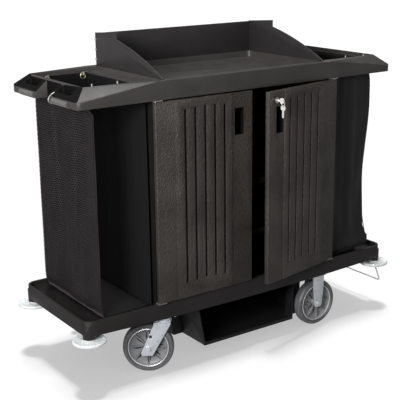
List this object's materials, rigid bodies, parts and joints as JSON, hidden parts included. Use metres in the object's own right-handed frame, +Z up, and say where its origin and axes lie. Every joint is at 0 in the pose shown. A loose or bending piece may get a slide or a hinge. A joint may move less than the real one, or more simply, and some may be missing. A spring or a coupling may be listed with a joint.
{
  "type": "housekeeping cart",
  "caption": "Moulded housekeeping cart with a locking two-door cabinet, hung end bags, hooded top tray, under-deck shelf, bumper discs and large casters.",
  "frame": {"origin": "on the floor the wheels stand on, under the middle of the two decks", "axes": "+Z up, +X along the cart towards the end with the wire bail, -Y towards the doors"},
  "size_m": [1.6, 0.7265, 1.305],
  "materials": {
    "black_plastic": "moulded, pebbled",
    "top_plastic": "moulded, pebbled",
    "door_plastic": "moulded, leather grain",
    "hood_plastic": "smooth sheet",
    "zinc_steel": "zinc plated",
    "chrome_steel": "polished",
    "key_steel": "nickel plated",
    "mesh_fabric": "woven mesh",
    "nylon_fabric": "coated nylon",
    "grommet_brass": "satin",
    "grey_rubber": "pale, soft",
    "wheel_plastic": "moulded grey",
    "grey_tyre": "grey, non-marking"
  },
  "bodies": {
    "cart": {"base_deck": "black_plastic", "top_deck": "top_plastic", "cabinet_side_left": "black_plastic", "cabinet_side_right": "black_plastic", "cabinet_back": "black_plastic", "shelf_lower": "black_plastic", "shelf_upper": "black_plastic", "hinge_plates_lower": "zinc_steel", "hinge_plates_upper": "zinc_steel", "hood_wing_left": "hood_plastic", "hood_wing_right": "hood_plastic", "hood_back": "hood_plastic", "hood_screws": "zinc_steel", "bag_left": "mesh_fabric", "bag_right": "nylon_fabric", "bag_grommets": "grommet_brass", "bag_hooks": "zinc_steel", "under_shelf": "black_plastic", "under_shelf_bolts": "zinc_steel", "bumper_bolts": "zinc_steel", "wire_bail": "zinc_steel", "swivel_plate_front": "zinc_steel", "swivel_plate_rear": "zinc_steel", "rigid_fork_front": "zinc_steel", "rigid_fork_rear": "zinc_steel", "axle_bolt_front_right": "zinc_steel", "axle_bolt_rear_right": "zinc_steel", "caster_bolts": "zinc_steel"},
    "left_door": {"left_door": "door_plastic", "strike_plate": "chrome_steel"},
    "right_door": {"right_door": "door_plastic", "lock_cylinder": "chrome_steel"},
    "lock": {"lock_plug": "chrome_steel", "lock_cam": "chrome_steel"},
    "key": {"door_key": "key_steel"},
    "ring": {"key_ring": "key_steel"},
    "spare": {"spare_key": "key_steel"},
    "swivel_front": {"swivel_fork_front": "zinc_steel", "axle_bolt_front_left": "zinc_steel"},
    "swivel_rear": {"swivel_fork_rear": "zinc_steel", "axle_bolt_rear_left": "zinc_steel"},
    "wheel_front_left": {"wheel_hub_front_left": "wheel_plastic", "tyre_front_left": "grey_tyre"},
    "bumper_front_left": {"bumper_disc_front_left": "grey_rubber"},
    "wheel_front_right": {"wheel_hub_front_right": "wheel_plastic", "tyre_front_right": "grey_tyre"},
    "bumper_front_right": {"bumper_disc_front_right": "grey_rubber"},
    "wheel_rear_left": {"wheel_hub_rear_left": "wheel_plastic", "tyre_rear_left": "grey_tyre"},
    "bumper_rear_left": {"bumper_disc_rear_left": "grey_rubber"},
    "wheel_rear_right": {"wheel_hub_rear_right": "wheel_plastic", "tyre_rear_right": "grey_tyre"},
    "bumper_rear_right": {"bumper_disc_rear_right": "grey_rubber"}
  },
  "joints": [
    {"name": "left_door_hinge", "type": "hinge", "parent": "cart", "child": "left_door", "pos_m": [-0.437, -0.2645, 0.69], "axis": [0, 0, 1], "range_deg": [-170, 0]},
    {"name": "right_door_hinge", "type": "hinge", "parent": "cart", "child": "right_door", "pos_m": [0.437, -0.2645, 0.69], "axis": [0, 0, 1], "range_deg": [-11.5, 158.5]},
    {"name": "lock_turn", "type": "hinge", "parent": "right_door", "child": "lock", "pos_m": [0.05581, -0.34205, 1.05], "axis": [0.1994, -0.9799, 0], "range_deg": [0, 90]},
    {"name": "key_withdraw", "type": "slide", "parent": "lock", "child": "key", "axis": [0.1994, -0.9799, 0], "range_m": [0, 0.026]},
    {"name": "key_ring_swing", "type": "hinge", "parent": "key", "child": "ring", "pos_m": [0.06438, -0.38419, 1.04835], "axis": [0.9799, 0.1994, 0], "range_deg": [-40, 12]},
    {"name": "spare_key_swing", "type": "hinge", "parent": "ring", "child": "spare", "pos_m": [0.06438, -0.38419, 1.03035], "axis": [0.9799, 0.1994, 0], "range_deg": [-30, 10]},
    {"name": "swivel_front_turn", "type": "hinge", "parent": "cart", "child": "swivel_front", "pos_m": [-0.402, -0.226, 0.215], "axis": [0, 0, 1], "continuous": true},
    {"name": "wheel_front_left_roll", "type": "hinge", "parent": "swivel_front", "child": "wheel_front_left", "pos_m": [-0.45133, -0.19184, 0.1016], "axis": [-0.5693, -0.8221, 0], "continuous": true},
    {"name": "wheel_front_right_roll", "type": "hinge", "parent": "cart", "child": "wheel_front_right", "pos_m": [0.386, -0.226, 0.1016], "axis": [0, 1, 0], "continuous": true},
    {"name": "bumper_front_left_spin", "type": "hinge", "parent": "cart", "child": "bumper_front_left", "pos_m": [-0.735, -0.235, 0.215], "axis": [0, 0, 1], "continuous": true},
    {"name": "bumper_front_right_spin", "type": "hinge", "parent": "cart", "child": "bumper_front_right", "pos_m": [0.735, -0.235, 0.215], "axis": [0, 0, 1], "continuous": true},
    {"name": "swivel_rear_turn", "type": "hinge", "parent": "cart", "child": "swivel_rear", "pos_m": [-0.402, 0.226, 0.215], "axis": [0, 0, 1], "continuous": true},
    {"name": "wheel_rear_left_roll", "type": "hinge", "parent": "swivel_rear", "child": "wheel_rear_left", "pos_m": [-0.45133, 0.26016, 0.1016], "axis": [-0.5693, -0.8221, 0], "continuous": true},
    {"name": "wheel_rear_right_roll", "type": "hinge", "parent": "cart", "child": "wheel_rear_right", "pos_m": [0.386, 0.226, 0.1016], "axis": [0, 1, 0], "continuous": true},
    {"name": "bumper_rear_left_spin", "type": "hinge", "parent": "cart", "child": "bumper_rear_left", "pos_m": [-0.735, 0.235, 0.215], "axis": [0, 0, 1], "continuous": true},
    {"name": "bumper_rear_right_spin", "type": "hinge", "parent": "cart", "child": "bumper_rear_right", "pos_m": [0.735, 0.235, 0.215], "axis": [0, 0, 1], "continuous": true}
  ]
}
